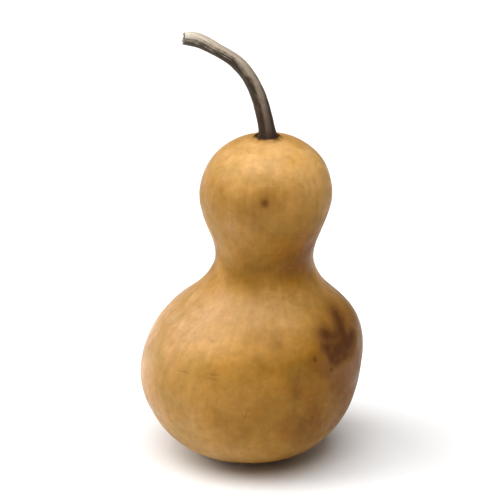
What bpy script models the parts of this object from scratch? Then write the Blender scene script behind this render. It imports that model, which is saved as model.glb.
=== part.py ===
"""A dried bottle gourd standing on its blossom end: a two-bulb fruit with its curved stem.

Lengths and places are in millimetres and become metres when a mesh is made. +Z is up. The origin
is on the resting surface, under the middle of the gourd's box. The front is the -Y side.
"""

import math

import bmesh
import bpy
import numpy as np

MM = 0.001

# Driving dimensions of the fruit
FRUIT_HEIGHT = 108.1
BELLY_RADIUS = 35.5
WAIST_RADIUS = 15.8
HEAD_RADIUS = 21.3

# The fruit's outline from the blossom end to the crown: half width, share of the height
OUTLINE = (
    (0.0, -0.007),
    (0.693 * BELLY_RADIUS, 0.060),
    (BELLY_RADIUS, 0.254),
    (0.868 * BELLY_RADIUS, 0.438),
    (1.248 * WAIST_RADIUS, 0.540),
    (WAIST_RADIUS, 0.622),
    (0.845 * HEAD_RADIUS, 0.710),
    (HEAD_RADIUS, 0.813),
    (0.812 * HEAD_RADIUS, 0.933),
    (0.0, 1.0),
)

# The middle of each level slice: share of the height, X, Y. The fruit swells to the right at its
# shoulder, and its neck and head stand right of the belly's middle.
CENTRE_LINE = (
    (0.00, 0.7, 0.0),
    (0.13, 0.3, 0.0),
    (0.26, 0.3, 0.1),
    (0.39, 2.5, 0.4),
    (0.50, 4.0, 0.8),
    (0.61, 4.8, 1.1),
    (0.81, 5.3, 1.4),
    (1.00, 5.8, 1.5),
)

# Faint lobes round the fruit: how many, share of the radius, where the first is, turns up the height
LOBES = (
    (2, 0.009, math.radians(45), 0.0),
    (3, 0.005, math.radians(70), 0.9),
    (5, 0.003, math.radians(20), -1.6),
)

# Shallow dents, and low on the right a swelling: azimuth, height, half width, depth
DENTS = (
    (math.radians(-38), 38.0, 9.0, 0.5),
    (math.radians(118), 33.0, 15.0, 0.9),
    (math.radians(205), 88.0, 8.0, 0.4),
    (math.radians(190), 101.0, 9.0, 0.8),
    (math.radians(5), 23.0, 14.0, -0.9),
)

# The scar where the flower sat, in the middle of the resting flat: radius, height above the flat
SCAR = ((0.0, 0.7), (1.1, 1.0), (2.2, 0.7), (3.0, 0.0))

# The pit in the crown that the stem stands in
PIT_RADIUS = 4.4
PIT_LIP_RADIUS = 5.0
PIT_DEPTH = 1.3

# The stem's own middle line from its foot to its cut tip: X, Y, Z
STEM_LINE = (
    (5.8, 1.5, 107.1),
    (5.1, 1.4, 113.1),
    (3.7, 1.1, 119.2),
    (0.4, 0.3, 127.5),
    (-4.3, -0.5, 133.6),
    (-10.3, -1.4, 137.8),
    (-16.0, -2.3, 141.0),
    (-20.1, -3.0, 142.0),
)

# The stem's half width along its length, flared at its root: share of the length, radius
STEM_RADII = (
    (0.00, 3.75),
    (0.03, 3.05),
    (0.07, 2.65),
    (0.15, 2.45),
    (0.35, 2.30),
    (0.60, 2.10),
    (0.80, 2.05),
    (0.92, 2.25),
    (1.00, 1.95),
)

# Five ridges run up the stem, strongest at its foot
STEM_RIDGES = 5
RIDGE_AT_FOOT = 0.10
RIDGE_AT_TIP = 0.05
STEM_TWIST = math.radians(40)
PITH_RADIUS = 0.75
PITH_DEPTH = 0.5

# Fineness of the two meshes
FRUIT_SIDES = 64
FRUIT_RINGS = 40
STEM_SIDES = 20
STEM_RINGS = 36
OUTLINE_SAMPLES = 800


def cubic(knots, values, at, first=None, last=None):
    """Smooth curve through values at knots, read at the places asked for.

    first and last are the slopes at the ends; without one, that end is free to straighten out.
    """
    knots = np.asarray(knots, float)
    values = np.asarray(values, float)
    at = np.asarray(at, float)
    count = len(knots)
    matrix = np.zeros((count, count))
    right = np.zeros(values.shape)
    for row, step in ((0, 1), (count - 1, -1)):
        slope = first if row == 0 else last
        if slope is None:
            matrix[row, row] = 2.0
            matrix[row, row + step] = 1.0
            right[row] = 3.0 * (values[row + step] - values[row]) / (knots[row + step] - knots[row])
        else:
            matrix[row, row] = 1.0
            right[row] = slope
    for row in range(1, count - 1):
        below = knots[row] - knots[row - 1]
        above = knots[row + 1] - knots[row]
        matrix[row, row - 1] = above
        matrix[row, row] = 2.0 * (below + above)
        matrix[row, row + 1] = below
        rise_below = (values[row] - values[row - 1]) * above / below
        rise_above = (values[row + 1] - values[row]) * below / above
        right[row] = 3.0 * (rise_below + rise_above)
    slopes = np.linalg.solve(matrix, right)
    span = np.clip(np.searchsorted(knots, at, side="right") - 1, 0, count - 2)
    width = (knots[span + 1] - knots[span])[:, None]
    share = ((at - knots[span])[:, None]) / width
    start = (2 * share**3 - 3 * share**2 + 1) * values[span] + (share**3 - 2 * share**2 + share) * width * slopes[span]
    end = (3 * share**2 - 2 * share**3) * values[span + 1] + (share**3 - share**2) * width * slopes[span + 1]
    return start + end


def along(points, count, first=None, last=None):
    """A smooth curve through points, as count points spaced evenly by the knots' distances."""
    points = np.asarray(points, float)
    knots = np.concatenate(([0.0], np.cumsum(np.linalg.norm(np.diff(points, axis=0), axis=1))))
    return cubic(knots, points, np.linspace(0.0, knots[-1], count), first, last)


def fruit_outline():
    """Half width and height of each ring of the fruit, from the scar up to the pit's floor."""
    stations = [(radius, share * FRUIT_HEIGHT) for radius, share in OUTLINE]
    curve = along(stations, OUTLINE_SAMPLES, first=(1.0, 0.0), last=(-1.0, 0.0))
    low = curve[: OUTLINE_SAMPLES // 8]
    flat_radius = float(np.interp(0.0, low[:, 1], low[:, 0]))
    above_flat = curve[:, 1] > 0.0
    outside_pit = (curve[:, 0] > PIT_LIP_RADIUS) | (curve[:, 1] < 0.5 * FRUIT_HEIGHT)
    wall = curve[above_flat & outside_pit]
    picks = np.linspace(0, len(wall) - 1, FRUIT_RINGS + 1).round().astype(int)[1:]
    floor = FRUIT_HEIGHT - PIT_DEPTH
    return [*SCAR, (flat_radius, 0.0), *map(tuple, wall[picks]), (PIT_RADIUS, floor), (0.0, floor)]


def lobe_factor(azimuth, height):
    """How much wider or narrower than a circle the fruit is there."""
    share = height / FRUIT_HEIGHT
    factor = 1.0
    for count, size, start, drift in LOBES:
        factor += size * math.cos(count * (azimuth - start) + drift * 2.0 * math.pi * share)
    return factor


def dent_depth(azimuth, height, radius):
    """How far the surface is pressed in there."""
    depth = 0.0
    for where, level, half_width, deepest in DENTS:
        turn = math.remainder(azimuth - where, 2.0 * math.pi)
        away = math.hypot(turn * radius, height - level) / half_width
        depth += deepest * math.exp(-(away**2))
    return depth


def shaped_place(radius, azimuth, height, centre):
    """Where a point of the turned outline lies on the real, uneven fruit."""
    fade = min(1.0, max(0.0, (radius - PIT_LIP_RADIUS) / 8.0))
    wide = radius * (1.0 + fade * (lobe_factor(azimuth, height) - 1.0))
    wide -= fade * dent_depth(azimuth, height, radius)
    return (
        (centre[0] + wide * math.cos(azimuth)) * MM,
        (centre[1] + wide * math.sin(azimuth)) * MM,
        height * MM,
    )


def fruit_mesh():
    """The outline turned round the upright axis, then set off centre, lobed and dented."""
    work = bmesh.new()
    points = [work.verts.new((radius, 0.0, height)) for radius, height in fruit_outline()]
    edges = [work.edges.new(pair) for pair in zip(points, points[1:])]
    bmesh.ops.spin(
        work,
        geom=points + edges,
        cent=(0.0, 0.0, 0.0),
        axis=(0.0, 0.0, 1.0),
        angle=2.0 * math.pi,
        steps=FRUIT_SIDES,
        use_merge=True,
    )
    bmesh.ops.remove_doubles(work, verts=work.verts[:], dist=0.001)
    heights = np.array([vertex.co.z for vertex in work.verts])
    shares = [row[0] for row in CENTRE_LINE]
    offsets = [row[1:] for row in CENTRE_LINE]
    centres = cubic(shares, offsets, np.clip(heights / FRUIT_HEIGHT, 0.0, 1.0))
    for vertex, centre in zip(work.verts, centres):
        radius = math.hypot(vertex.co.x, vertex.co.y)
        azimuth = math.atan2(vertex.co.y, vertex.co.x)
        vertex.co = shaped_place(radius, azimuth, vertex.co.z, centre)
    return finished_mesh(work, "fruit")


def stem_rings():
    """Rings of points across the stem, square to its middle line, foot first."""
    line = along(STEM_LINE, STEM_RINGS, first=(0.0, 0.0, 1.0))
    ahead = np.gradient(line, axis=0)
    ahead[0] = (0.0, 0.0, 1.0)
    ahead /= np.linalg.norm(ahead, axis=1)[:, None]
    travelled = np.concatenate(([0.0], np.cumsum(np.linalg.norm(np.diff(line, axis=0), axis=1))))
    shares = travelled / travelled[-1]
    radii = cubic([row[0] for row in STEM_RADII], [[row[1]] for row in STEM_RADII], shares)[:, 0]
    rings = []
    for middle, forward, share, radius in zip(line, ahead, shares, radii):
        across = np.array((0.0, 1.0, 0.0)) - forward[1] * forward
        across /= np.linalg.norm(across)
        outward = np.cross(across, forward)
        ridge = RIDGE_AT_FOOT + (RIDGE_AT_TIP - RIDGE_AT_FOOT) * share
        ring = []
        for side in range(STEM_SIDES):
            turn = 2.0 * math.pi * side / STEM_SIDES
            wide = radius * (1.0 + ridge * math.cos(STEM_RIDGES * turn))
            seen = turn + STEM_TWIST * share
            ring.append(middle + wide * (math.cos(seen) * outward + math.sin(seen) * across))
        rings.append(ring)
    return rings, line, ahead


def stem_mesh():
    """A ridged, tapering stalk with a flat foot and a small pith hollow in its cut end."""
    rings, line, ahead = stem_rings()
    tip = line[-1]
    pith = [tip + (point - tip) * (PITH_RADIUS / np.linalg.norm(point - tip)) for point in rings[-1]]
    rings.append(pith)
    rings.append([point - ahead[-1] * PITH_DEPTH for point in pith])
    work = bmesh.new()
    loops = [[work.verts.new(point * MM) for point in ring] for ring in rings]
    for lower, upper in zip(loops, loops[1:]):
        for side in range(STEM_SIDES):
            after = (side + 1) % STEM_SIDES
            work.faces.new((lower[side], lower[after], upper[after], upper[side]))
    for loop in (loops[0], loops[-1]):
        middle = work.verts.new(sum((vertex.co for vertex in loop[1:]), loop[0].co.copy()) / STEM_SIDES)
        for side in range(STEM_SIDES):
            work.faces.new((loop[side], loop[(side + 1) % STEM_SIDES], middle))
    return finished_mesh(work, "stem")


def finished_mesh(work, name):
    """Turns the working mesh into a smooth-shaded one with its faces pointing out."""
    bmesh.ops.recalc_face_normals(work, faces=work.faces[:])
    mesh = bpy.data.meshes.new(name)
    work.to_mesh(mesh)
    work.free()
    mesh.shade_smooth()
    mesh.set_sharp_from_angle(angle=math.radians(50))
    return mesh


def rind_material():
    """Dry golden tan rind with a dull wax sheen."""
    return principled("rind", (0.52, 0.30, 0.11, 1.0), 0.5)


def stem_material():
    """Weathered grey brown plant fibre."""
    return principled("stem", (0.20, 0.15, 0.10, 1.0), 0.8)


def principled(name, colour, roughness):
    material = bpy.data.materials.new(name)
    material.use_nodes = True
    shader = material.node_tree.nodes["Principled BSDF"]
    shader.inputs["Base Color"].default_value = colour
    shader.inputs["Roughness"].default_value = roughness
    shader.inputs["Metallic"].default_value = 0.0
    return material


def add_piece(name, mesh, material):
    mesh.materials.append(material)
    piece = bpy.data.objects.new(name, mesh)
    bpy.context.scene.collection.objects.link(piece)
    return piece


def build_gourd():
    for old in list(bpy.data.objects):
        bpy.data.objects.remove(old)
    add_piece("fruit", fruit_mesh(), rind_material())
    add_piece("stem", stem_mesh(), stem_material())


build_gourd()
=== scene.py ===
"""The looks of a dried bottle gourd: its waxy mottled rind and its fibrous stem, on a pale floor.

Lengths in the lists below are millimetres, as the gourd was measured, and become metres when a
mesh, a node or a lamp is made. Azimuths go round from +X towards +Y, so -90 degrees is the front.
"""

import math

import bpy
import numpy as np
from mathutils import Matrix, Vector, noise


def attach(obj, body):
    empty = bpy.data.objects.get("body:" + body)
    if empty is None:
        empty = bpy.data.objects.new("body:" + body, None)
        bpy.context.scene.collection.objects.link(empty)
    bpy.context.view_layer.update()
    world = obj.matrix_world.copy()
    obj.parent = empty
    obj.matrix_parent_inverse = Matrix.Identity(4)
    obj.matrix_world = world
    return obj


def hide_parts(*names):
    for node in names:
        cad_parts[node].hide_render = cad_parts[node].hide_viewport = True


MM = 0.001

# The fruit's form, as the frame's fruit node has it
FRUIT_HEIGHT = 108.1
BELLY_RADIUS = 35.5
WAIST_RADIUS = 15.8
HEAD_RADIUS = 21.3

# Its outline from the bottom up: radius, share of the height
OUTLINE = (
    (0.0, -0.007),
    (0.693 * BELLY_RADIUS, 0.060),
    (BELLY_RADIUS, 0.254),
    (0.868 * BELLY_RADIUS, 0.438),
    (1.248 * WAIST_RADIUS, 0.540),
    (WAIST_RADIUS, 0.622),
    (0.845 * HEAD_RADIUS, 0.710),
    (HEAD_RADIUS, 0.813),
    (0.812 * HEAD_RADIUS, 0.933),
    (0.0, 1.0),
)

# Where its middle stands: share of the height, x, y
CENTRE_LINE = (
    (0.00, 0.7, 0.0),
    (0.13, 0.3, 0.0),
    (0.26, 0.3, 0.1),
    (0.39, 2.5, 0.4),
    (0.50, 4.0, 0.8),
    (0.61, 4.8, 1.1),
    (0.81, 5.3, 1.4),
    (1.00, 5.8, 1.5),
)

# Its lobes: how many, how high as a share of the radius, azimuth at the bottom, and how many
# turns their wave makes on the way up
LOBES = (
    (2, 0.009, math.radians(45), 0.0),
    (3, 0.005, math.radians(70), 0.9),
    (5, 0.003, math.radians(20), -1.6),
)
LOBE_FADE_WIDTH = 8.0

# Its dents: azimuth, height, half width, and depth, which is below zero for a bulge
DENTS = (
    (math.radians(-38), 38.0, 9.0, 0.5),
    (math.radians(118), 33.0, 15.0, 0.9),
    (math.radians(205), 88.0, 8.0, 0.4),
    (math.radians(190), 101.0, 9.0, 0.8),
    (math.radians(5), 23.0, 14.0, -0.9),
)

# The scar where the flower sat: a ring-shaped groove round a corky button
SCAR_RADIUS = 3.0
SCAR_FLOOR_RADIUS = 1.9
SCAR_DEPTH = 1.1
BUTTON_RADII = (0.8, 1.5)
BUTTON_HEIGHT = 0.5

# The crown round the stem: its rind rises in a collar, inside a shallow moat
CROWN_RADIUS = 8.0
PIT_LIP_RADIUS = 5.0
COLLAR_RADIUS = 3.9
COLLAR_HALF_WIDTH = 0.7
COLLAR_HEIGHT = 0.40
MOAT_RADIUS = 5.4
MOAT_HALF_WIDTH = 0.8
MOAT_DEPTH = 0.22
ROOT_CORK_RADIUS = 4.35

# Swells of the rind: how high, how wide. The small ones are read from another part of the noise.
# They start just off the floor and die out towards the collar.
BROAD_SWELL = (0.20, 17.0)
SMALL_SWELL = (0.05, 5.0)
NOISE_SHIFT = 50.0
OFF_FLOOR = (0.0, 4.0)
UPPER_SHARES = (0.90, 0.95)
CALM_RADII = (3.6, 7.6)
STAIN_SINK = 0.18

# Puckers round the collar and rays round the scar: how many, how high, how unevenly spaced, where
PUCKERS = 10
PUCKER_HEIGHT = 0.05
PUCKER_SWING = 1.2
PUCKER_RADIUS = 5.0
PUCKER_HALF_WIDTH = 2.4
PUCKER_START = (3.2, 4.2)
RAYS = 13
RAY_HEIGHT = 0.10
RAY_SWING = 1.5
RAY_LEVELS = (0.0, 6.0)
RAY_RADII = (7.5, 11.5)

# Dimples in the rind: how many, then the least and the most of each measure
DIMPLE_COUNT = 70
DIMPLE_SEED = 11
DIMPLE_LEVELS = (6.0, 98.0)
DIMPLE_HALF_WIDTHS = (1.0, 2.4)
DIMPLE_DEPTHS = (0.05, 0.16)

# The stem's form, as the frame's stem node has it
STEM_LINE = (
    (5.8, 1.5, 107.1),
    (5.1, 1.4, 113.1),
    (3.7, 1.1, 119.2),
    (0.4, 0.3, 127.5),
    (-4.3, -0.5, 133.6),
    (-10.3, -1.4, 137.8),
    (-16.0, -2.3, 141.0),
    (-20.1, -3.0, 142.0),
)
STEM_RADII = (
    (0.00, 3.75),
    (0.03, 3.05),
    (0.07, 2.65),
    (0.15, 2.45),
    (0.35, 2.30),
    (0.60, 2.10),
    (0.80, 2.05),
    (0.92, 2.25),
    (1.00, 1.95),
)
STEM_RIDGES = 5
RIDGE_AT_FOOT = 0.10
RIDGE_AT_TIP = 0.05
STEM_TWIST = math.radians(40)

# Fibres and knots on the stem, their heights as shares of its radius
FIBRE_ROUND = 2.0
FIBRE_ALONG = 0.07
FIBRE_SIZE = 0.42
FIBRE_HEIGHT = 0.045
FIBRE_IN_GROOVES = 1.1
KNOT_SIZE = 6.0
KNOT_HEIGHT = 0.035
TORN_FROM = 0.985
TORN_LENGTH = 0.45

# The stem's cut end: each ring's share of the tip's radius, and how far it stands out past the
# tip. Every ring adds one CUT_RING_SHARE to the share of the length that the colours go by.
CUT_RINGS = (
    (0.93, 0.10),
    (0.80, 0.04),
    (0.62, -0.08),
    (0.42, -0.16),
    (0.28, -0.45),
    (0.12, -0.55),
)
CUT_ROUGHNESS = 0.22
CUT_FREQUENCY = 1.7
CUT_RING_SHARE = 0.02

# The stem's weathered pale side, also painted as its lit side against painted shade on the rest:
# share of the length, azimuth round the stem of its middle, half width
BLEACHED_AND_LIT_SIDE = (
    (0.00, -66, 30),
    (0.18, -70, 32),
    (0.38, -44, 42),
    (0.60, -28, 50),
    (1.00, -20, 54),
)
BLEACHED_EDGE = math.radians(22)

# Fineness: sides, rings of each part, gaps between the parts, and the rings next to the middles
FRUIT_SIDES = 320
SCAR_RINGS = 12
FLAT_RINGS = 8
WALL_RINGS = 250
CROWN_RINGS = 30
SCAR_TO_FLAT = 0.5
FLAT_TO_WALL = 0.3
WALL_TO_CROWN = 0.2
FIRST_RING_RADIUS = 0.25
LAST_RING_RADIUS = 0.4
STEM_SIDES = 90
STEM_RINGS = 300
OUTLINE_SAMPLES = 4000

# Marks drawn on the rind as tapering strokes: azimuth, height and half width of the one end, then
# of the other
STAIN_STROKES = (
    ((-43, 48.4, 2.6), (-41, 44.8, 4.2)),
    ((-42, 45.0, 4.4), (-28, 44.0, 4.4)),
    ((-41, 41.6, 3.4), (-27, 40.8, 3.0)),
    ((-21, 52.0, 2.0), (-29, 46.4, 3.4)),
    ((-20, 44.4, 3.0), (-28, 42.6, 3.6)),
)
PALE_STROKES = (
    ((118, 24.0, 6.0), (150, 36.0, 9.0)),
    ((150, 40.0, 5.0), (170, 34.0, 3.0)),
    ((60, 44.0, 4.0), (48, 34.0, 5.0)),
    ((95, 92.0, 5.0), (120, 84.0, 4.0)),
    ((20, 16.0, 3.0), (35, 12.0, 4.0)),
    ((-160, 15.0, 2.5), (-150, 11.0, 3.0)),
)

# Small dark dots on the rind: azimuth, height, half width, half height. Their reach is into and
# out of the rind, and a halo is so many times as large as its dot.
DOTS = (
    (-91, 93.0, 1.15, 1.25),
    (-56, 43.1, 0.55, 0.80),
    (-44, 37.7, 0.80, 0.70),
)
DOT_REACH = 2.0
HALO_SIZE = 2.6

# Scratches on the rind: azimuth, height, turn from level, half length, half width. Their reach
# and that of the halos is into and out of the rind.
SCRATCHES = (
    (-113, 40.2, 4, 1.9, 0.42),
    (-112, 38.2, -3, 1.3, 0.36),
    (-131, 38.5, 6, 2.2, 0.30),
    (-92, 27.0, 70, 2.4, 0.20),
    (30, 40.0, 50, 8.0, 0.20),
    (75, 28.0, -30, 9.0, 0.22),
    (190, 45.0, 65, 7.0, 0.20),
    (140, 90.0, 20, 5.0, 0.18),
)
MARK_REACH = 3.0

# Areas where the rind's colour drifts: azimuth and height of the middle, reach round the rind and up
# it, how much paler, how much warmer. Below zero is deeper and greyer. Most of those on the front
# paint light and shade; those round the back are tone that differs at random.
ALL_ROUND = 999.0
TONE_AND_PAINTED_LIGHT_AREAS = (
    # Painted highlight of the light from above, round the crown
    (0, 108.0, ALL_ROUND, 10.0, 0.32, 0.30),
    # Painted highlight on the top right of the head
    (-35, 101.0, 14.0, 10.0, 0.46, 0.45),
    # Painted shade on the lower front of the head
    (-110, 91.0, 16.0, 7.0, -0.12, -0.10),
    # Darker and greyer on the left of the head
    (180, 95.0, 18.0, 14.0, -0.10, -0.40),
    # Painted shade, warm, under the right of the head
    (-45, 80.0, 13.0, 8.0, -0.20, 0.50),
    # Painted shade in a ring round the waist
    (0, 70.0, ALL_ROUND, 6.0, -0.06, 0.00),
    # Painted shade, warm, at the right of the waist
    (-42, 71.0, 13.0, 9.0, -0.44, 0.95),
    # Painted highlight on the front of the upper shoulder
    (-100, 57.0, 22.0, 7.0, 0.26, -0.45),
    # Painted shade over the front of the belly
    (-95, 36.0, 26.0, 13.0, -0.14, 0.00),
    # Painted reflection of the pale stage along the left limb, paler and cooler
    (180, 34.0, 26.0, 26.0, 0.36, -1.00),
    # Painted highlight on the left shoulder
    (-145, 50.0, 14.0, 10.0, 0.12, -0.25),
    # Paler and cooler low on the left of the head
    (-120, 84.0, 10.0, 7.0, 0.06, -0.50),
    # Painted shade at the left of the waist
    (-125, 66.0, 9.0, 5.0, -0.16, -0.10),
    # Painted shade with painted warm bounce light over the low right of the belly
    (-34, 24.0, 25.0, 24.0, -0.66, 1.00),
    # Paler and warmer in a small patch on the front right of the belly
    (-59, 33.0, 6.5, 5.5, 0.20, 0.30),
    # Painted shade, warm, on the right of the belly
    (-15, 44.0, 12.0, 10.0, -0.30, 0.70),
    # Painted shade low on the front right, near the floor
    (-65, 12.0, 18.0, 9.0, -0.20, 0.20),
    # Painted light thrown up from the floor, at the front of the belly's bottom
    (-95, 10.0, 22.0, 7.0, 0.28, -0.30),
    # Tone that differs at random, round the back
    (95, 40.0, 26.0, 22.0, 0.10, -0.30),
    (60, 14.0, 26.0, 10.0, -0.20, 0.30),
    (110, 84.0, 14.0, 10.0, 0.10, -0.40),
)

# Rind colours, as the share of red, green and blue light that they give back
DEEP_AMBER = (0.185, 0.075, 0.007)
AMBER = (0.285, 0.130, 0.015)
GOLD_TAN = (0.402, 0.202, 0.042)
PALE_TAN = (0.500, 0.272, 0.082)
CREAM_TAN = (0.625, 0.372, 0.152)
OLIVE_TAN = (0.320, 0.186, 0.036)
WORN_TAN = (0.560, 0.360, 0.145)
WARM_BROWN = (0.235, 0.102, 0.020)
UMBER = (0.080, 0.024, 0.004)
RUSSET = (0.150, 0.055, 0.010)
CORK = (0.050, 0.021, 0.007)
RIND_TONES = (
    (0.0, DEEP_AMBER),
    (0.27, AMBER),
    (0.5, GOLD_TAN),
    (0.74, PALE_TAN),
    (1.0, CREAM_TAN),
)

# How much less green and blue a warmer rind gives back, as shares. The second share of green
# counts only above zero.
WARMTH_GREEN = -0.06
WARMTH_GREEN_ABOVE = -0.08
WARMTH_BLUE = -0.58

# How much of each layer's colour covers the layers below it
OLIVE_CLOUD_COVER = 0.42
OLIVE_FOOT_COVER = 0.3
BAND_COVER = 0.3
BROWN_FLECK_COVER = 0.26
PALE_FLECK_COVER = 0.13
TIDE_COVER = 0.30
WORN_COVER = 0.36
WORN_OUTLINE_COVER = 0.30
STAIN_EDGE_COVER = 0.72
STAIN_COVER = 0.94
BLOTCH_COVER = 0.20
FRECKLE_COVER = 0.55
HALO_COVER = 0.5
DOT_COVER = 0.7
SCRATCH_COVER = 0.3
CORK_EDGE_COVER = 0.5
CORK_COVER = 0.95

# How far noise moves the tone and the warmth, as shares, and the edges of marks
TONE_SWAY = 0.62
WARMTH_SWAY = 0.8
WORN_SWAY = 13.0
STAIN_SWAY = 3.4
CORK_SWAY = 0.9

# Heights between which the olive tint at the foot and the streaks at the crown fade out, and how
# much of the streaks goes
OLIVE_FOOT = (6.0, 26.0)
STREAK_FADE = (94.0, 105.0)
STREAK_LOSS = 0.85

# Sheen
RIND_SHINE = 0.12
WAXED_ROUGHNESS = (0.34, 0.54)
DULL_ROUGHNESS = 0.75
WORN_DULLNESS = 0.7
STEM_SHINE = 0.3
STEM_ROUGHNESS = 0.72

# Stem colours, from the foot to the tip: on the shaded side, dark partly as painted shade, and on the
# weathered pale side, pale partly as painted light
SHADED_FIBRE = (
    (0.0, (0.056, 0.030, 0.015)),
    (0.3, (0.048, 0.028, 0.014)),
    (0.8, (0.050, 0.034, 0.019)),
    (1.0, (0.046, 0.033, 0.020)),
)
BLEACHED_AND_LIT_FIBRE = (
    (0.0, (0.064, 0.038, 0.023)),
    (0.2, (0.155, 0.110, 0.075)),
    (0.5, (0.385, 0.305, 0.225)),
    (0.8, (0.580, 0.480, 0.365)),
    (1.0, (0.660, 0.575, 0.460)),
)
ROOT_BROWN = (0.034, 0.015, 0.006)
TORN_WHITE = (0.640, 0.600, 0.500)
CUT_BROWN = (0.200, 0.155, 0.105)
PITH = (0.090, 0.062, 0.036)
ROOT_COVER = 0.85
CUT_COVER = 0.85
PITH_COVER = 0.9
TORN_SWAY = 0.06

# The view: the camera stands where the photo's stood and looks closer
VIEW_ELEVATION = math.radians(22.0)
VIEW_DISTANCE = 1000.0
VIEW_CENTRE_HEIGHT = 55.0
AIM = (0.4, 0.0, 69.8)
LENS = 222.7
NEAREST = 50.0
FARTHEST = 60000.0

# The stage: a paper floor and large soft lamps, each with its place, width and power in watts
FLOOR_SIZE = 30000.0
PAPER = (0.9, 0.9, 0.9, 1.0)
PAPER_ROUGHNESS = 0.9
PAPER_SHINE = 0.1
SKY = (1.0, 1.0, 1.0, 1.0)
SKY_STRENGTH = 0.12
LAMPS = (
    ("overhead", (0.0, -98.0, 2798.0), 3000.0, 27.0),
    ("front", (0.0, -865.0, 2663.0), 3000.0, 59.0),
    ("left", (-1800.0, 0.0, 2145.0), 2400.0, 50.0),
    ("low_left", (-2537.0, 0.0, 1183.0), 2000.0, 19.0),
    ("right", (1800.0, 0.0, 2145.0), 2400.0, 5.0),
)


def cubic(knots, values, at, first=None, last=None):
    """Smooth curve through values at knots, read at the places asked for.

    first and last are the slopes at the ends; without one, that end is free to straighten out.
    """
    knots = np.asarray(knots, float)
    values = np.asarray(values, float)
    at = np.asarray(at, float)
    count = len(knots)
    matrix = np.zeros((count, count))
    right = np.zeros(values.shape)
    for row, step in ((0, 1), (count - 1, -1)):
        slope = first if row == 0 else last
        if slope is None:
            matrix[row, row] = 2.0
            matrix[row, row + step] = 1.0
            right[row] = 3.0 * (values[row + step] - values[row]) / (knots[row + step] - knots[row])
        else:
            matrix[row, row] = 1.0
            right[row] = slope
    for row in range(1, count - 1):
        below = knots[row] - knots[row - 1]
        above = knots[row + 1] - knots[row]
        matrix[row, row - 1] = above
        matrix[row, row] = 2.0 * (below + above)
        matrix[row, row + 1] = below
        rise_below = (values[row] - values[row - 1]) * above / below
        rise_above = (values[row + 1] - values[row]) * below / above
        right[row] = 3.0 * (rise_below + rise_above)
    slopes = np.linalg.solve(matrix, right)
    span = np.clip(np.searchsorted(knots, at, side="right") - 1, 0, count - 2)
    width = (knots[span + 1] - knots[span])[:, None]
    share = ((at - knots[span])[:, None]) / width
    start = (2 * share**3 - 3 * share**2 + 1) * values[span]
    start += (share**3 - 2 * share**2 + share) * width * slopes[span]
    end = (3 * share**2 - 2 * share**3) * values[span + 1]
    end += (share**3 - share**2) * width * slopes[span + 1]
    return start + end


def along(points, count, first=None, last=None):
    """A smooth curve through points, as count points spaced evenly by the knots' distances."""
    points = np.asarray(points, float)
    knots = travelled(points)
    return cubic(knots, points, np.linspace(0.0, knots[-1], count), first, last)


def travelled(points):
    """How far along the polyline each of its points is."""
    return np.concatenate(([0.0], np.cumsum(np.linalg.norm(np.diff(points, axis=0), axis=1))))


def rise(value, low, high):
    """0 where value is below low, 1 where it is above high, and a smooth step between."""
    share = np.clip((value - low) / (high - low), 0.0, 1.0)
    return share * share * (3.0 - 2.0 * share)


def hump(away):
    """1 at 0, falling off smoothly to either side."""
    return np.exp(-(away**2))


def wrapped(angle):
    """The same direction as angle, between minus half a turn and half a turn."""
    return (angle + math.pi) % (2.0 * math.pi) - math.pi


def round_ring(sides):
    """The azimuth of each side of a ring."""
    return (np.arange(sides) * 2.0 * math.pi / sides)[None, :]


def metres(lengths):
    """Each of the lengths in metres."""
    return [length * MM for length in lengths]


def grid(*coordinates):
    """Places from their coordinates, each spread over the whole grid."""
    return np.stack(np.broadcast_arrays(*coordinates), axis=-1)


def roughened(points, size, octaves):
    """Fractal noise at each point, of bumps about size across."""
    return np.array([noise.fractal(Vector(point / size), 1.0, 2.0, octaves) for point in points])


def fruit_rings():
    """Half width and height of each ring of the rind, from the scar up to where the stem grows on."""
    stations = [(radius, share * FRUIT_HEIGHT) for radius, share in OUTLINE]
    curve = along(stations, OUTLINE_SAMPLES, first=(1.0, 0.0), last=(-1.0, 0.0))
    low = curve[: OUTLINE_SAMPLES // 8]
    high = curve[-OUTLINE_SAMPLES // 8 :][::-1]
    flat_radius = float(np.interp(0.0, low[:, 1], low[:, 0]))
    below_crown = (curve[:, 0] > CROWN_RADIUS) | (curve[:, 1] < 0.5 * FRUIT_HEIGHT)
    wall = curve[(curve[:, 1] > 0.0) & below_crown]
    way = travelled(wall)
    places = np.linspace(0.0, way[-1], WALL_RINGS)
    wall = np.column_stack([np.interp(places, way, wall[:, side]) for side in (0, 1)])
    scar = np.linspace(FIRST_RING_RADIUS, SCAR_RADIUS, SCAR_RINGS)
    flat = np.linspace(SCAR_RADIUS + SCAR_TO_FLAT, flat_radius - FLAT_TO_WALL, FLAT_RINGS)
    crown = np.linspace(CROWN_RADIUS - WALL_TO_CROWN, LAST_RING_RADIUS, CROWN_RINGS)
    collar = COLLAR_HEIGHT * hump((crown - COLLAR_RADIUS) / COLLAR_HALF_WIDTH)
    moat = MOAT_DEPTH * hump((crown - MOAT_RADIUS) / MOAT_HALF_WIDTH)
    crown_height = np.interp(crown, high[:, 0], high[:, 1]) + (collar - moat)
    return np.vstack(
        [
            np.column_stack([scar, scar_height(scar)]),
            np.column_stack([flat, np.zeros(len(flat))]),
            wall,
            np.column_stack([crown, crown_height]),
        ]
    )


def scar_height(radius):
    """The corky button where the flower sat, in a ring-shaped groove."""
    hollow = 1.0 - rise(radius, SCAR_FLOOR_RADIUS, SCAR_RADIUS)
    button = 1.0 - rise(radius, *BUTTON_RADII)
    return SCAR_DEPTH * hollow - BUTTON_HEIGHT * button


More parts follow.
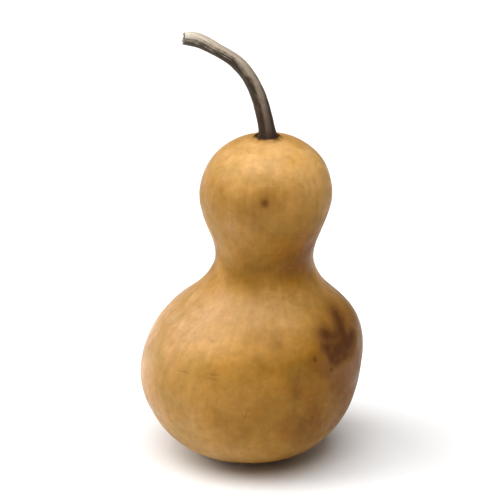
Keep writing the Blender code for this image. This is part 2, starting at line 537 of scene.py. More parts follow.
def fruit_form():
    """The rind's bare form: places on a grid of rings and sides, with azimuth and distance up."""
    rings = fruit_rings()
    radius, height = rings[:, 0][:, None], rings[:, 1][:, None]
    azimuth = round_ring(FRUIT_SIDES)
    shares = np.clip(rings[:, 1] / FRUIT_HEIGHT, 0.0, 1.0)
    centre = cubic([row[0] for row in CENTRE_LINE], [row[1:] for row in CENTRE_LINE], shares)
    fade = np.clip((radius - PIT_LIP_RADIUS) / LOBE_FADE_WIDTH, 0.0, 1.0)
    lobe = np.zeros((len(rings), FRUIT_SIDES))
    for count, size, start, drift in LOBES:
        lobe += size * np.cos(count * (azimuth - start) + drift * 2.0 * math.pi * shares[:, None])
    dent = np.zeros_like(lobe)
    for where, level, half_width, deepest in DENTS:
        away = np.hypot(wrapped(azimuth - where) * radius, height - level)
        dent += deepest * hump(away / half_width)
    wide = radius * (1.0 + fade * lobe) - fade * dent
    x = centre[:, 0][:, None] + wide * np.cos(azimuth)
    y = centre[:, 1][:, None] + wide * np.sin(azimuth)
    return grid(x, y, height), np.broadcast_to(azimuth, wide.shape), travelled(rings), rings


def grid_normals(places):
    """Outward directions on a grid whose rows are closed rings."""
    round_way = np.roll(places, -1, axis=1) - np.roll(places, 1, axis=1)
    up_way = np.gradient(places, axis=0)
    normals = np.cross(round_way, up_way)
    return normals / np.maximum(np.linalg.norm(normals, axis=-1), 1e-9)[..., None]


def rind_index(places, azimuth, height):
    """The ring and side of the rind's point at an azimuth in degrees and a height."""
    side = round(azimuth / 360.0 * FRUIT_SIDES) % FRUIT_SIDES
    return int(np.abs(places[:, side, 2] - height).argmin()), side


def stroke_distance(places, strokes):
    """How far each point lies outside the nearest stroke, below zero inside it."""
    nearest = np.full(places.shape[:2], np.inf)
    for (turn_a, height_a, wide_a), (turn_b, height_b, wide_b) in strokes:
        start = places[rind_index(places, turn_a, height_a)]
        way = places[rind_index(places, turn_b, height_b)] - start
        share = np.clip((places - start) @ way / (way @ way), 0.0, 1.0)
        away = np.linalg.norm(places - start - share[..., None] * way, axis=-1)
        nearest = np.minimum(nearest, away - wide_a - share * (wide_b - wide_a))
    return nearest


def rind_drift_and_painted_light(places):
    """How much paler and how much warmer the rind is at each point than its middle colour, painted
    light and shade among it.
    """
    drift = np.zeros((2, *places.shape[:2]))
    for turn, height, reach_round, reach_up, paler, warmer in TONE_AND_PAINTED_LIGHT_AREAS:
        away = places - places[rind_index(places, turn, height)]
        level = np.hypot(away[..., 0], away[..., 1]) / reach_round
        share = hump(np.hypot(level, away[..., 2] / reach_up))
        drift += np.array((paler, warmer))[:, None, None] * share
    return drift


def cork_distance(places):
    """How far each point lies outside the cork round the stem's root and at the blossom scar."""
    root = np.linalg.norm(places - np.array(STEM_LINE[0]), axis=-1) - ROOT_CORK_RADIUS
    scar = np.linalg.norm(places - np.array((*CENTRE_LINE[0][1:], 0.0)), axis=-1) - SCAR_RADIUS
    return np.minimum(root, scar)


def dimples(places):
    """Small shallow dimples scattered over the rind, below zero."""
    draw = np.random.default_rng(DIMPLE_SEED)
    relief = np.zeros(places.shape[:2])
    for _ in range(DIMPLE_COUNT):
        azimuth = draw.uniform(-180.0, 180.0)
        height = draw.uniform(*DIMPLE_LEVELS)
        half_width = draw.uniform(*DIMPLE_HALF_WIDTHS)
        away = np.linalg.norm(places - places[rind_index(places, azimuth, height)], axis=-1)
        relief -= draw.uniform(*DIMPLE_DEPTHS) * hump(away / half_width)
    return relief


def swells(places):
    """Broad and small unevenness, as a fruit that has dried has all over."""
    flat = places.reshape(-1, 3)
    broad_height, broad_size = BROAD_SWELL
    small_height, small_size = SMALL_SWELL
    broad = broad_height * roughened(flat, broad_size, 2)
    small = small_height * roughened(flat + NOISE_SHIFT, small_size, 2)
    return (broad + small).reshape(places.shape[:2])


def rind_relief(places, azimuth, rings, stain):
    """How far each point of the rind stands out from its bare form."""
    radius = rings[:, 0][:, None]
    height = rings[:, 1][:, None]
    off_floor = rise(height, *OFF_FLOOR)
    upper = rise(height / FRUIT_HEIGHT, *UPPER_SHARES)
    by_collar = upper * (1.0 - rise(radius, *CALM_RADII))
    pucker_ring = hump((radius - PUCKER_RADIUS) / PUCKER_HALF_WIDTH)
    pucker_zone = upper * pucker_ring * rise(radius, *PUCKER_START)
    pucker = np.cos(PUCKERS * azimuth + PUCKER_SWING * np.sin(3.0 * azimuth))
    ray_zone = (1.0 - rise(height, *RAY_LEVELS)) * rise(radius, *RAY_RADII)
    rays = np.cos(RAYS * azimuth + RAY_SWING * np.sin(2.0 * azimuth))
    relief = swells(places) * off_floor * (1.0 - by_collar)
    relief -= STAIN_SINK * (1.0 - rise(stain, -1.0, 1.0))
    relief += dimples(places) * off_floor * (1.0 - upper)
    return relief + PUCKER_HEIGHT * pucker_zone * pucker + RAY_HEIGHT * ray_zone * rays


def ring_mesh(name, places, near_middle, far_middle):
    """A closed mesh from a grid of rings, with a fan round the middle of each end."""
    rows, sides = places.shape[:2]
    points = [tuple(point) for point in places.reshape(-1, 3) * MM]
    faces = []
    for row in range(rows - 1):
        for side in range(sides):
            after = (side + 1) % sides
            near_edge = (row * sides + side, row * sides + after)
            far_edge = ((row + 1) * sides + after, (row + 1) * sides + side)
            faces.append(near_edge + far_edge)
    for middle, row, way in ((near_middle, 0, -1), (far_middle, rows - 1, 1)):
        points.append(tuple(np.asarray(middle) * MM))
        for side in range(sides):
            fan = (row * sides + side, row * sides + (side + 1) % sides, len(points) - 1)
            faces.append(fan[::way])
    mesh = bpy.data.meshes.new(name)
    mesh.from_pydata(points, [], faces)
    mesh.shade_smooth()
    return mesh


def keep_vector(mesh, name, rows, ends):
    """Stores a place for each point of a ring mesh, for its material to read."""
    layer = mesh.attributes.new(name, "FLOAT_VECTOR", "POINT")
    values = np.concatenate([rows.reshape(-1, 3), ends]).astype(np.float32)
    layer.data.foreach_set("vector", values.ravel())


def keep_number(mesh, name, rows, ends):
    """Stores a number for each point of a ring mesh, for its material to read."""
    layer = mesh.attributes.new(name, "FLOAT", "POINT")
    values = np.concatenate([rows.ravel(), ends]).astype(np.float32)
    layer.data.foreach_set("value", values)


def make_rind():
    """The fruit's rind, from the blossom scar to the collar round the stem."""
    bare, azimuth, way, rings = fruit_form()
    stain = stroke_distance(bare, STAIN_STROKES)
    places = bare + grid_normals(bare) * rind_relief(bare, azimuth, rings, stain)[..., None]
    places[..., 2] = np.maximum(places[..., 2], 0.0)
    scar_middle = (*places[0, :, :2].mean(axis=0), float(scar_height(0.0)))
    mesh = ring_mesh("rind", places, scar_middle, places[-1].mean(axis=0))
    round_radius = 25.0
    lengthwise = grid(round_radius * np.cos(azimuth), round_radius * np.sin(azimuth), way[:, None])
    # Tone of areas, with painted highlights, painted reflection and painted shade among them
    paler, warmer = rind_drift_and_painted_light(bare)
    far_off = (50.0, 50.0)
    deep_inside = (-2.0, -2.0)
    unchanged = (0.0, 0.0)
    keep_vector(mesh, "lengthwise", lengthwise * MM, [(0.0, 0.0, 0.0), (0.0, 0.0, way[-1] * MM)])
    keep_number(mesh, "stain", stain, far_off)
    keep_number(mesh, "pale", stroke_distance(bare, PALE_STROKES), far_off)
    keep_number(mesh, "cork", cork_distance(bare), deep_inside)
    keep_number(mesh, "paler", paler, unchanged)
    keep_number(mesh, "warmer", warmer, unchanged)
    return place_piece("rind", mesh, rind_material(places), "fruit")


def stem_frames():
    """The stem's middle line with, at each ring, the way ahead and two ways across."""
    line = along(STEM_LINE, STEM_RINGS, first=(0.0, 0.0, 1.0))
    ahead = np.gradient(line, axis=0)
    ahead[0] = (0.0, 0.0, 1.0)
    ahead /= np.linalg.norm(ahead, axis=1)[:, None]
    across = np.array((0.0, 1.0, 0.0)) - ahead[:, 1][:, None] * ahead
    across /= np.linalg.norm(across, axis=1)[:, None]
    return line, ahead, across, np.cross(across, ahead)


def stem_half_widths(line, shares, turn, fine):
    """The stem's radius round each ring, with its ridges, fine fibres and knots."""
    radii = cubic([row[0] for row in STEM_RADII], [[row[1]] for row in STEM_RADII], shares)
    ridge = RIDGE_AT_FOOT + (RIDGE_AT_TIP - RIDGE_AT_FOOT) * shares[:, None]
    knots = roughened(line, KNOT_SIZE, 2)[:, None]
    height = ridge * np.cos(STEM_RIDGES * turn) + FIBRE_HEIGHT * fine + KNOT_HEIGHT * knots
    return radii * (1.0 + height)


def make_stalk():
    """The stem: a bent, ridged stalk of fibres, torn where it was cut."""
    line, ahead, across, outward = stem_frames()
    way = travelled(line)
    shares = way / way[-1]
    share = shares[:, None]
    turn = round_ring(STEM_SIDES)
    fibre = grid(FIBRE_ROUND * np.cos(turn), FIBRE_ROUND * np.sin(turn), FIBRE_ALONG * way[:, None])
    fine = roughened(fibre.reshape(-1, 3), FIBRE_SIZE, 3).reshape(fibre.shape[:2])
    wide = stem_half_widths(line, shares, turn, fine)
    seen = turn + STEM_TWIST * share
    places = (
        line[:, None, :]
        + (wide * np.cos(seen))[..., None] * outward[:, None, :]
        + (wide * np.sin(seen))[..., None] * across[:, None, :]
    )
    torn = TORN_LENGTH * fine * rise(share, TORN_FROM, 1.0)
    places += torn[..., None] * ahead[:, None, :]
    places = with_cut_end(places, line[-1], ahead[-1])
    pith = line[-1] + CUT_RINGS[-1][1] * ahead[-1]
    mesh = ring_mesh("stalk", places, line[0], pith)

    fibre = over_cut_end(fibre)
    groove = over_cut_end(np.cos(STEM_RIDGES * turn) + FIBRE_IN_GROOVES * fine)
    past_tip = 1.0 + CUT_RING_SHARE * np.arange(1, len(CUT_RINGS) + 2)
    far = np.concatenate([shares, past_tip[:-1]])
    keep_vector(mesh, "fibre", fibre * MM, [(0.0, 0.0, 0.0), (0.0, 0.0, fibre[-1, 0, 2] * MM)])
    keep_number(mesh, "ridge", groove, (0.0, 0.0))
    # Where the fibre is weathered pale and painted as lit, against painted shade elsewhere
    keep_number(mesh, "bleached_and_lit", over_cut_end(bleached_and_lit_share(seen, share)), (0.0, 0.0))
    keep_number(mesh, "along_stem", np.broadcast_to(far[:, None], groove.shape), (0.0, past_tip[-1]))
    return place_piece("stalk", mesh, stem_material(), "stem")


def bleached_and_lit_share(seen, share):
    """Above 0 on the stem's weathered pale side, also painted as lit, and below 0 on its painted
    shaded side, 1 a whole soft edge away.
    """
    shares, middles, reaches = np.array(BLEACHED_AND_LIT_SIDE).T
    away = wrapped(seen - np.radians(np.interp(share, shares, middles)))
    return (np.radians(np.interp(share, shares, reaches)) - np.abs(away)) / BLEACHED_EDGE


def with_cut_end(places, tip, ahead):
    """Adds the stem's rough cut end, which sinks to a pith hollow in its middle."""
    rim = places[-1]
    out = rim - tip
    rows = []
    for share, lift in CUT_RINGS:
        grain = np.array([noise.noise(Vector(point) * CUT_FREQUENCY) for point in rim * share])
        rows.append(tip + out * share + (lift + CUT_ROUGHNESS * grain)[:, None] * ahead)
    return np.concatenate([places, np.array(rows)])


def over_cut_end(rows):
    """rows with the tip's one repeated for each ring of the cut end."""
    return np.concatenate([rows, np.repeat(rows[-1:], len(CUT_RINGS), axis=0)])


def place_piece(name, mesh, material, node):
    """Links a piece that stands for a node of the frame."""
    mesh.materials.append(material)
    piece = bpy.data.objects.new(name, mesh)
    bpy.context.scene.collection.objects.link(piece)
    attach(piece, "root")
    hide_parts(node)
    return piece


class Shading:
    """Short words for building one material's nodes. Spans and ends are pairs, low end first."""

    def __init__(self, name):
        self.material = bpy.data.materials.new(name)
        self.material.use_nodes = True
        self.nodes = self.material.node_tree.nodes
        self.links = self.material.node_tree.links
        self.shader = self.nodes["Principled BSDF"]

    def join(self, value, socket):
        """Gives a socket another node's output, a number, a colour or a vector."""
        if isinstance(value, bpy.types.NodeSocket):
            self.links.new(value, socket)
        elif isinstance(value, (int, float)):
            socket.default_value = value
        elif socket.type == "RGBA" and len(value) == 3:
            socket.default_value = (*value, 1.0)
        else:
            socket.default_value = value

    def node(self, kind, output, settings=(), **inputs):
        """A new node's output, with its settings and its inputs by name."""
        made = self.nodes.new(kind)
        for setting, value in dict(settings).items():
            setattr(made, setting, value)
        for name, value in inputs.items():
            self.join(value, made.inputs[name.replace("_", " ")])
        return made.outputs[output]

    def place(self):
        """Where the shaded point is, in the piece's own metres."""
        return self.node("ShaderNodeTexCoord", "Object")

    def kept_vector(self, name):
        """What keep_vector stored on the mesh."""
        return self.node("ShaderNodeAttribute", "Vector", {"attribute_name": name})

    def kept_number(self, name):
        """What keep_number stored on the mesh."""
        return self.node("ShaderNodeAttribute", "Fac", {"attribute_name": name})

    def stretch(self, vector, scale):
        """vector scaled along each axis, which draws noise out where the scale is small."""
        made = self.nodes.new("ShaderNodeMapping")
        self.join(vector, made.inputs["Vector"])
        made.inputs["Scale"].default_value = scale
        return made.outputs["Vector"]

    def noise(self, vector, size, detail=3.0, roughness=0.5, distortion=0.0):
        """Noise whose blobs are about size millimetres across."""
        return self.node(
            "ShaderNodeTexNoise",
            "Fac",
            Vector=vector,
            Scale=1.0 / (size * MM),
            Detail=detail,
            Roughness=roughness,
            Distortion=distortion,
        )

    def cells(self, vector, size, output="Distance"):
        """Scattered cells about size millimetres across."""
        return self.node("ShaderNodeTexVoronoi", output, Vector=vector, Scale=1.0 / (size * MM))

    def math(self, operation, first, second=0.0):
        """One sum on one or two numbers."""
        made = self.nodes.new("ShaderNodeMath")
        made.operation = operation
        self.join(first, made.inputs[0])
        self.join(second, made.inputs[1])
        return made.outputs[0]

    def step(self, value, span, ends=(0.0, 1.0)):
        """Smoothly from one of the ends to the other, while value crosses the span."""
        made = self.nodes.new("ShaderNodeMapRange")
        made.interpolation_type = "SMOOTHSTEP"
        self.join(value, made.inputs["Value"])
        for socket, number in zip(("From Min", "From Max", "To Min", "To Max"), (*span, *ends)):
            made.inputs[socket].default_value = number
        return made.outputs["Result"]

    def near(self, value, middle, reach, strength):
        """strength where value is middle, falling to 0 at reach to either side."""
        away = self.math("ABSOLUTE", self.math("SUBTRACT", value, middle))
        return self.step(away, (0.0, reach), (strength, 0.0))

    def both(self, first, second):
        """The product, so high only where both are high."""
        return self.math("MULTIPLY", first, second)

    def total(self, *terms):
        """The sum of values, each times its own weight."""
        value = 0.0
        for term, weight in terms:
            value = self.math("ADD", value, self.both(term, weight))
        return value

    def centred(self, drift):
        """Noise moved to lie round 0."""
        return self.math("SUBTRACT", drift, 0.5)

    def sway(self, value, drift, amount):
        """value moved up or down by noise, by up to amount."""
        return self.total((value, 1.0), (self.centred(drift), 2.0 * amount))

    def mix(self, factor, first, second):
        """From one colour to the other."""
        made = self.nodes.new("ShaderNodeMix")
        made.data_type = "RGBA"
        self.join(factor, made.inputs[0])
        self.join(first, made.inputs[6])
        self.join(second, made.inputs[7])
        return made.outputs[2]

    def blend(self, factor, first, second):
        """From one number to the other."""
        made = self.nodes.new("ShaderNodeMix")
        self.join(factor, made.inputs[0])
        self.join(first, made.inputs[2])
        self.join(second, made.inputs[3])
        return made.outputs[0]

    def ramp(self, value, stops):
        """The colour of the stops at value, blended between them."""
        made = self.nodes.new("ShaderNodeValToRGB")
        self.join(value, made.inputs["Fac"])
        line = made.color_ramp.elements
        while len(line) < len(stops):
            line.new(0.5)
        for stop, (position, colour) in zip(line, stops):
            stop.position = position
            stop.color = (*colour, 1.0)
        return made.outputs["Color"]

    def shade(self, colour, value, span, ends):
        """colour times a brightness that goes from one of the ends to the other."""
        grey = self.step(value, span, ends)
        scaled = {"operation": "SCALE"}
        return self.node("ShaderNodeVectorMath", "Vector", scaled, Vector=colour, Scale=grey)

    def warmed(self, colour, amount):
        """colour with less green and blue where amount is high, and with more below zero."""
        above = self.math("MAXIMUM", amount, 0.0)
        green = self.total((amount, WARMTH_GREEN), (above, WARMTH_GREEN_ABOVE))
        blue = self.both(amount, WARMTH_BLUE)
        change = self.node("ShaderNodeCombineXYZ", "Vector", X=0.0, Y=green, Z=blue)
        made = self.nodes.new("ShaderNodeVectorMath")
        made.operation = "MULTIPLY_ADD"
        for socket, value in zip(made.inputs, (colour, change, colour)):
            self.join(value, socket)
        return made.outputs["Vector"]

    def inside(self, vector, axes, half_size, soft):
        """1 inside an ellipsoid along the given axes, fading to 0 over its outer share."""
        made = self.nodes.new("ShaderNodeMapping")
        made.vector_type = "TEXTURE"
        self.join(vector, made.inputs["Vector"])
        made.inputs["Location"].default_value = axes.translation * MM
        made.inputs["Rotation"].default_value = axes.to_euler()
        made.inputs["Scale"].default_value = metres(half_size)
        length = {"operation": "LENGTH"}
        away = self.node("ShaderNodeVectorMath", "Value", length, Vector=made.outputs["Vector"])
        return self.step(away, (1.0 - soft, 1.0 + soft), (1.0, 0.0))

    def wobble(self, vector, size, amount):
        """vector pushed about by noise, by up to amount millimetres."""
        scale = 1.0 / (size * MM)
        drift = self.node("ShaderNodeTexNoise", "Color", Vector=vector, Scale=scale, Detail=3.0)
        centred = self.nodes.new("ShaderNodeVectorMath")
        centred.operation = "SUBTRACT"
        self.join(drift, centred.inputs[0])
        centred.inputs[1].default_value = (0.5, 0.5, 0.5)
        moved = self.nodes.new("ShaderNodeVectorMath")
        moved.operation = "MULTIPLY_ADD"
        self.join(centred.outputs["Vector"], moved.inputs[0])
        moved.inputs[1].default_value = (2.0 * amount * MM,) * 3
        self.join(vector, moved.inputs[2])
        return moved.outputs["Vector"]

    def finish(self, colour, roughness, relief, shine):
        """Joins the surface's colour, its roughness and its relief in millimetres to the shader."""
        bump = self.node("ShaderNodeBump", "Normal", Distance=MM, Height=relief)
        self.shader.inputs["Specular IOR Level"].default_value = shine
        self.join(colour, self.shader.inputs["Base Color"])
        self.join(roughness, self.shader.inputs["Roughness"])
        self.join(bump, self.shader.inputs["Normal"])
        return self.material


def mark_frame(places, azimuth, height, turn=0.0):
    """A frame on the rind: level along it, up along it and straight out of it, then turned."""
    row, side = rind_index(places, azimuth, height)
    out = Vector(grid_normals(places)[row, side])
    level = Vector((0.0, 0.0, 1.0)).cross(out).normalized()
    upright = Matrix((level, out.cross(level), out)).transposed()
    axes = upright @ Matrix.Rotation(math.radians(turn), 3, "Z")
    return Matrix.Translation(Vector(places[row, side])) @ axes.to_4x4()


def rind_pigment(make, place):
    """Clouds of tan over the paler and deeper areas, which include painted light and shade, streaks
    down the gourd, mottling and grain.

    Gives the colour, and the streaks and the grain for the relief.
    """
    height = make.node("ShaderNodeSeparateXYZ", "Z", Vector=place)
    cloud = make.noise(place, 22.0, detail=5.0, roughness=0.58, distortion=0.3)
    # The paler and warmer numbers carry painted highlights, painted reflection and painted shade as
    # well as tone
    tone = make.sway(make.math("ADD", make.kept_number("paler"), 0.5), cloud, TONE_SWAY)
    colour = make.ramp(tone, RIND_TONES)
    olive = make.step(make.noise(place, 15.0, detail=4.0), (0.50, 0.66), (0.0, OLIVE_CLOUD_COVER))
    colour = make.mix(olive, colour, OLIVE_TAN)
    foot = make.step(height, metres(OLIVE_FOOT), (OLIVE_FOOT_COVER, 0.0))
    colour = make.mix(foot, colour, OLIVE_TAN)

    # The streaks fade out at the crown, where they would all run together
    lengthwise = make.kept_vector("lengthwise")
    streak = make.noise(make.stretch(lengthwise, (1.0, 1.0, 0.06)), 1.9, detail=4.0, roughness=0.6)
    band = make.noise(make.stretch(lengthwise, (1.0, 1.0, 0.16)), 7.0, detail=3.0)
    crown = make.step(height, metres(STREAK_FADE), (0.0, STREAK_LOSS))
    streak = make.blend(crown, streak, 0.5)
    band = make.blend(crown, band, 0.5)
    mottle = make.noise(place, 3.4, detail=6.0, roughness=0.62)
    grain = make.noise(place, 0.5, detail=3.0, roughness=0.6)
    colour = make.shade(colour, streak, (0.36, 0.64), (0.955, 1.04))
    colour = make.mix(make.step(band, (0.52, 0.70), (0.0, BAND_COVER)), colour, AMBER)
    colour = make.shade(colour, mottle, (0.35, 0.65), (0.92, 1.06))
    colour = make.shade(colour, grain, (0.35, 0.65), (0.965, 1.03))
    drift = make.noise(place, 11.0, detail=4.0)
    warmth = make.sway(make.kept_number("warmer"), drift, WARMTH_SWAY)
    return make.warmed(colour, warmth), streak, grain


def rind_flecks(make, place, colour):
    """Small brown and pale flecks in the skin. Gives the colour, the noise and the brown flecks."""
    fleck = make.noise(place, 2.0, detail=3.0, roughness=0.55)
    there = make.step(make.noise(place, 13.0, detail=2.0), (0.44, 0.60), (0.15, 1.0))
    brown = make.both(make.step(fleck, (0.56, 0.68)), there)
    pale = make.both(make.step(fleck, (0.30, 0.42), (1.0, 0.0)), there)
    colour = make.mix(make.both(brown, BROWN_FLECK_COVER), colour, AMBER)
    colour = make.mix(make.both(pale, PALE_FLECK_COVER), colour, PALE_TAN)
    return colour, fleck, brown


def rind_tide_marks(make, place, colour):
    """The marks the gourd dried with: each deepens slowly and ends at a sharp line."""
    there = make.step(make.noise(place, 19.0, detail=2.0), (0.52, 0.60))
    level = make.noise(place, 15.0, detail=3.5)
    tide = make.both(make.step(level, (0.43, 0.50)), make.step(level, (0.500, 0.512), (1.0, 0.0)))
    tide = make.both(tide, there)
    return make.mix(make.both(tide, TIDE_COVER), colour, AMBER), tide


def rind_worn_patches(make, place, colour):
    """Pale patches where the outer skin has gone, each with a thin and broken brown outline."""
    ragged = make.noise(place, 8.0, detail=7.0, roughness=0.66)
    away = make.sway(make.kept_number("pale"), ragged, WORN_SWAY)
    worn_through = make.noise(place, 3.0, detail=5.0, roughness=0.6)
    worn_through = make.step(worn_through, (0.40, 0.60), (0.1, 1.0))
    bare = make.both(make.step(away, (-5.0, 0.6), (1.0, 0.0)), worn_through)
    unbroken = make.step(make.noise(place, 6.0, detail=3.0), (0.50, 0.64))
    outline = make.both(make.near(away, 0.2, 1.0, WORN_OUTLINE_COVER), unbroken)
    colour = make.mix(make.both(bare, WORN_COVER), colour, WORN_TAN)
    return make.mix(outline, colour, RUSSET), bare, outline


def rind_stain(make, place, colour):
    """The dark stain, ragged and uneven, with a soft edge of warm brown."""
    ragged = make.noise(place, 8.5, detail=6.0, roughness=0.60)
    away = make.sway(make.kept_number("stain"), ragged, STAIN_SWAY)
    stain = make.step(away, (-2.4, 2.2), (1.0, 0.0))
    depth = make.mix(make.step(make.noise(place, 4.0, detail=4.0), (0.46, 0.74)), UMBER, RUSSET)
    edge = make.step(away, (-0.5, 5.5), (STAIN_EDGE_COVER, 0.0))
    colour = make.mix(edge, colour, WARM_BROWN)
    return make.mix(make.both(stain, STAIN_COVER), colour, depth), stain


def rind_freckles(make, place, colour):
    """Soft blotches and small freckles, each in some of the cells scattered over the rind."""
    freckle = make.both(
        make.step(make.cells(place, 3.1), (0.03, 0.14), (1.0, 0.0)),
        make.step(make.cells(place, 3.1, "Color"), (0.72, 0.86)),
    )
    blotch = make.both(
        make.step(make.cells(make.wobble(place, 2.0, 0.8), 7.5), (0.10, 0.34), (1.0, 0.0)),
        make.step(make.cells(place, 7.5, "Color"), (0.62, 0.80)),
    )
    colour = make.mix(make.both(blotch, BLOTCH_COVER), colour, AMBER)
    return make.mix(make.both(freckle, FRECKLE_COVER), colour, RUSSET)


def rind_dots(make, place, colour, places):
    """The small dark dots, each in a brown halo."""
    shaken = make.wobble(place, 0.9, 0.25)
    for azimuth, height, wide, high in DOTS:
        axes = mark_frame(places, azimuth, height)
        halo = make.inside(shaken, axes, (HALO_SIZE * wide, HALO_SIZE * high, MARK_REACH), 0.9)
        colour = make.mix(make.both(halo, HALO_COVER), colour, DEEP_AMBER)
        spot = make.inside(shaken, axes, (wide, high, DOT_REACH), 0.8)
        colour = make.mix(make.both(spot, DOT_COVER), colour, UMBER)
    return colour


def rind_scratches(make, place, colour, places):
    """Short scratches that have healed brown."""
    bent = make.wobble(place, 6.0, 0.8)
    scratched = 0.0
    for azimuth, height, turn, long, wide in SCRATCHES:
        axes = mark_frame(places, azimuth, height, turn)
        line = make.inside(bent, axes, (long, wide, MARK_REACH), 0.7)
        scratched = make.math("MAXIMUM", scratched, line)
    return make.mix(make.both(scratched, SCRATCH_COVER), colour, RUSSET), scratched


def rind_cork(make, place, colour):
    """Cork round the stem's root and at the blossom scar."""
    away = make.sway(make.kept_number("cork"), make.noise(place, 2.2, detail=4.0), CORK_SWAY)
    corky = make.step(away, (-0.5, 0.5), (1.0, 0.0))
    colour = make.mix(make.step(away, (0.0, 1.6), (CORK_EDGE_COVER, 0.0)), colour, AMBER)
    return make.mix(make.both(corky, CORK_COVER), colour, CORK), corky


def rind_material(places):
    """Golden tan rind, clouded with olive and ochre, streaked lengthwise, freckled and stained."""
    make = Shading("rind")
    place = make.place()
    colour, streak, grain = rind_pigment(make, place)
    colour, fleck, brown_fleck = rind_flecks(make, place, colour)
    colour, tide = rind_tide_marks(make, place, colour)
    colour, bare, outline = rind_worn_patches(make, place, colour)
    colour, stain = rind_stain(make, place, colour)
    colour = rind_freckles(make, place, colour)
    colour = rind_dots(make, place, colour, places)
    colour, scratched = rind_scratches(make, place, colour, places)
    colour, corky = rind_cork(make, place, colour)

    # Unevenly waxed, and dull where it is stained, corky or worn
    dull = make.math("MAXIMUM", make.math("MAXIMUM", corky, stain), make.both(bare, WORN_DULLNESS))
    polish = make.total((make.noise(place, 6.0, detail=4.0), 0.7), (fleck, 0.3))
    waxed = make.step(polish, (0.36, 0.64), WAXED_ROUGHNESS)
    roughness = make.blend(dull, waxed, DULL_ROUGHNESS)

    # What stands out of the surface, and how far in millimetres
    relief = make.total(
        (grain, 0.012),
        (make.noise(place, 2.0, detail=2.0), 0.05),
        (streak, 0.02),
        (stain, -0.05),
        (outline, 0.03),
        (brown_fleck, -0.012),
        (tide, -0.015),
        (scratched, -0.04),
        (make.both(corky, make.noise(place, 0.6, detail=3.0)), 0.30),
    )
    return make.finish(colour, roughness, relief, RIND_SHINE)


def stem_material():
    """Dry plant fibre: weathered pale on one side and to the tip, the pale side also painted as lit
    and the other side darker partly as painted shade, dark in its grooves and at its root.
    """
    make = Shading("stem")
    place = make.place()
    fibre = make.kept_vector("fibre")
    ridge = make.kept_number("ridge")
    share = make.kept_number("along_stem")
    strand = make.noise(fibre, 0.55, detail=4.0, roughness=0.65)
    thread = make.noise(fibre, 0.20, detail=3.0, roughness=0.6)

    # Weathered pale fibre, partly painted light, over dark fibre, partly painted shade, then lighter
    # and darker threads and grooves
    light = make.total(
        (make.kept_number("bleached_and_lit"), 0.55),
        (ridge, 0.10),
        (make.centred(strand), 3.4),
        (make.centred(make.noise(place, 3.0, detail=3.0)), 1.6),
    )
    shaded = make.ramp(share, SHADED_FIBRE)
    bleached_and_lit = make.ramp(share, BLEACHED_AND_LIT_FIBRE)
    colour = make.mix(make.step(light, (-0.6, 0.7)), shaded, bleached_and_lit)
    colour = make.shade(colour, thread, (0.35, 0.65), (0.78, 1.16))
    colour = make.shade(colour, ridge, (-1.3, 1.0), (0.80, 1.06))

    # Dark at the root, frayed white at the tip only on the painted lit side so that the underside
    # stays dark as painted shade, and brown over the cut down to the pith
    colour = make.mix(make.step(share, (0.01, 0.10), (ROOT_COVER, 0.0)), colour, ROOT_BROWN)
    at_tip = make.step(make.sway(share, strand, TORN_SWAY), (0.93, 1.0))
    frayed_where_lit = make.both(at_tip, make.step(light, (-0.6, 0.6), (0.05, 0.8)))
    colour = make.mix(frayed_where_lit, colour, TORN_WHITE)
    colour = make.mix(make.step(share, (1.01, 1.05), (0.0, CUT_COVER)), colour, CUT_BROWN)
    colour = make.mix(make.step(share, (1.07, 1.11), (0.0, PITH_COVER)), colour, PITH)
    fuzz = make.noise(place, 0.35, detail=3.0)
    relief = make.total((strand, 0.18), (thread, 0.08), (fuzz, 0.03))
    return make.finish(colour, STEM_ROUGHNESS, relief, STEM_SHINE)


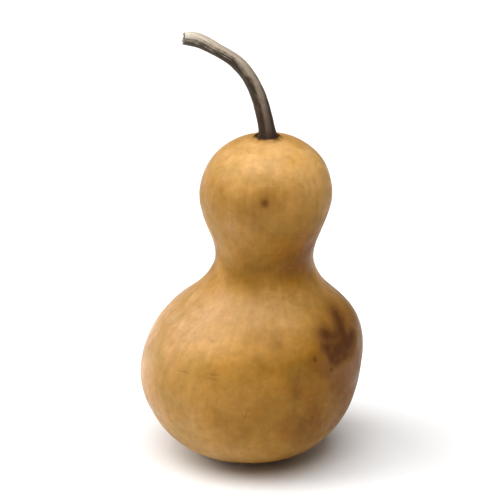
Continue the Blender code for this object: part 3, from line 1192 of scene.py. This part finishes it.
def make_stage():
    """A plain white floor under large soft lamps, with a little light from all round."""
    bpy.ops.mesh.primitive_plane_add(size=FLOOR_SIZE * MM)
    floor = bpy.context.object
    floor.name = "floor"
    paper = bpy.data.materials.new("paper")
    paper.use_nodes = True
    shader = paper.node_tree.nodes["Principled BSDF"]
    shader.inputs["Base Color"].default_value = PAPER
    shader.inputs["Roughness"].default_value = PAPER_ROUGHNESS
    shader.inputs["Specular IOR Level"].default_value = PAPER_SHINE
    floor.data.materials.append(paper)
    world = bpy.data.worlds.new("studio")
    world.use_nodes = True
    sky = world.node_tree.nodes["Background"]
    sky.inputs["Color"].default_value = SKY
    sky.inputs["Strength"].default_value = SKY_STRENGTH
    bpy.context.scene.world = world
    for name, place, size, power in LAMPS:
        add_lamp(name, place, size, power)


def add_lamp(name, place, size, power):
    """A round soft lamp that faces the gourd."""
    data = bpy.data.lights.new(name, "AREA")
    data.shape = "DISK"
    data.size = size * MM
    data.energy = power
    lamp = bpy.data.objects.new(name, data)
    lamp.location = metres(place)
    lamp.rotation_euler = (Vector(AIM) - Vector(place)).to_track_quat("-Z", "Y").to_euler()
    bpy.context.scene.collection.objects.link(lamp)


def make_camera():
    """The camera, above and in front of the gourd."""
    data = bpy.data.cameras.new("camera")
    data.lens = LENS
    data.clip_start = NEAREST * MM
    data.clip_end = FARTHEST * MM
    camera = bpy.data.objects.new("camera", data)
    back = VIEW_DISTANCE * math.cos(VIEW_ELEVATION)
    up = VIEW_DISTANCE * math.sin(VIEW_ELEVATION)
    place = Vector((0.0, -back, VIEW_CENTRE_HEIGHT + up))
    camera.location = place * MM
    camera.rotation_euler = (Vector(AIM) - place).to_track_quat("-Z", "Y").to_euler()
    bpy.context.scene.collection.objects.link(camera)
    bpy.context.scene.camera = camera


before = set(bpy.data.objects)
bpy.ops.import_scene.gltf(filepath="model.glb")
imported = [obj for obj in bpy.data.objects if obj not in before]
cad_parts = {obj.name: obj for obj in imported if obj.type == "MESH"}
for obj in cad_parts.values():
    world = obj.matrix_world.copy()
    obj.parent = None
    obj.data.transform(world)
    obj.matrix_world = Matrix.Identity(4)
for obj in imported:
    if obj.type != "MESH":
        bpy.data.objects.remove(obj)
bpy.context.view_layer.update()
make_camera()
make_rind()
make_stalk()
make_stage()
bpy.context.scene.view_settings.view_transform = "Standard"
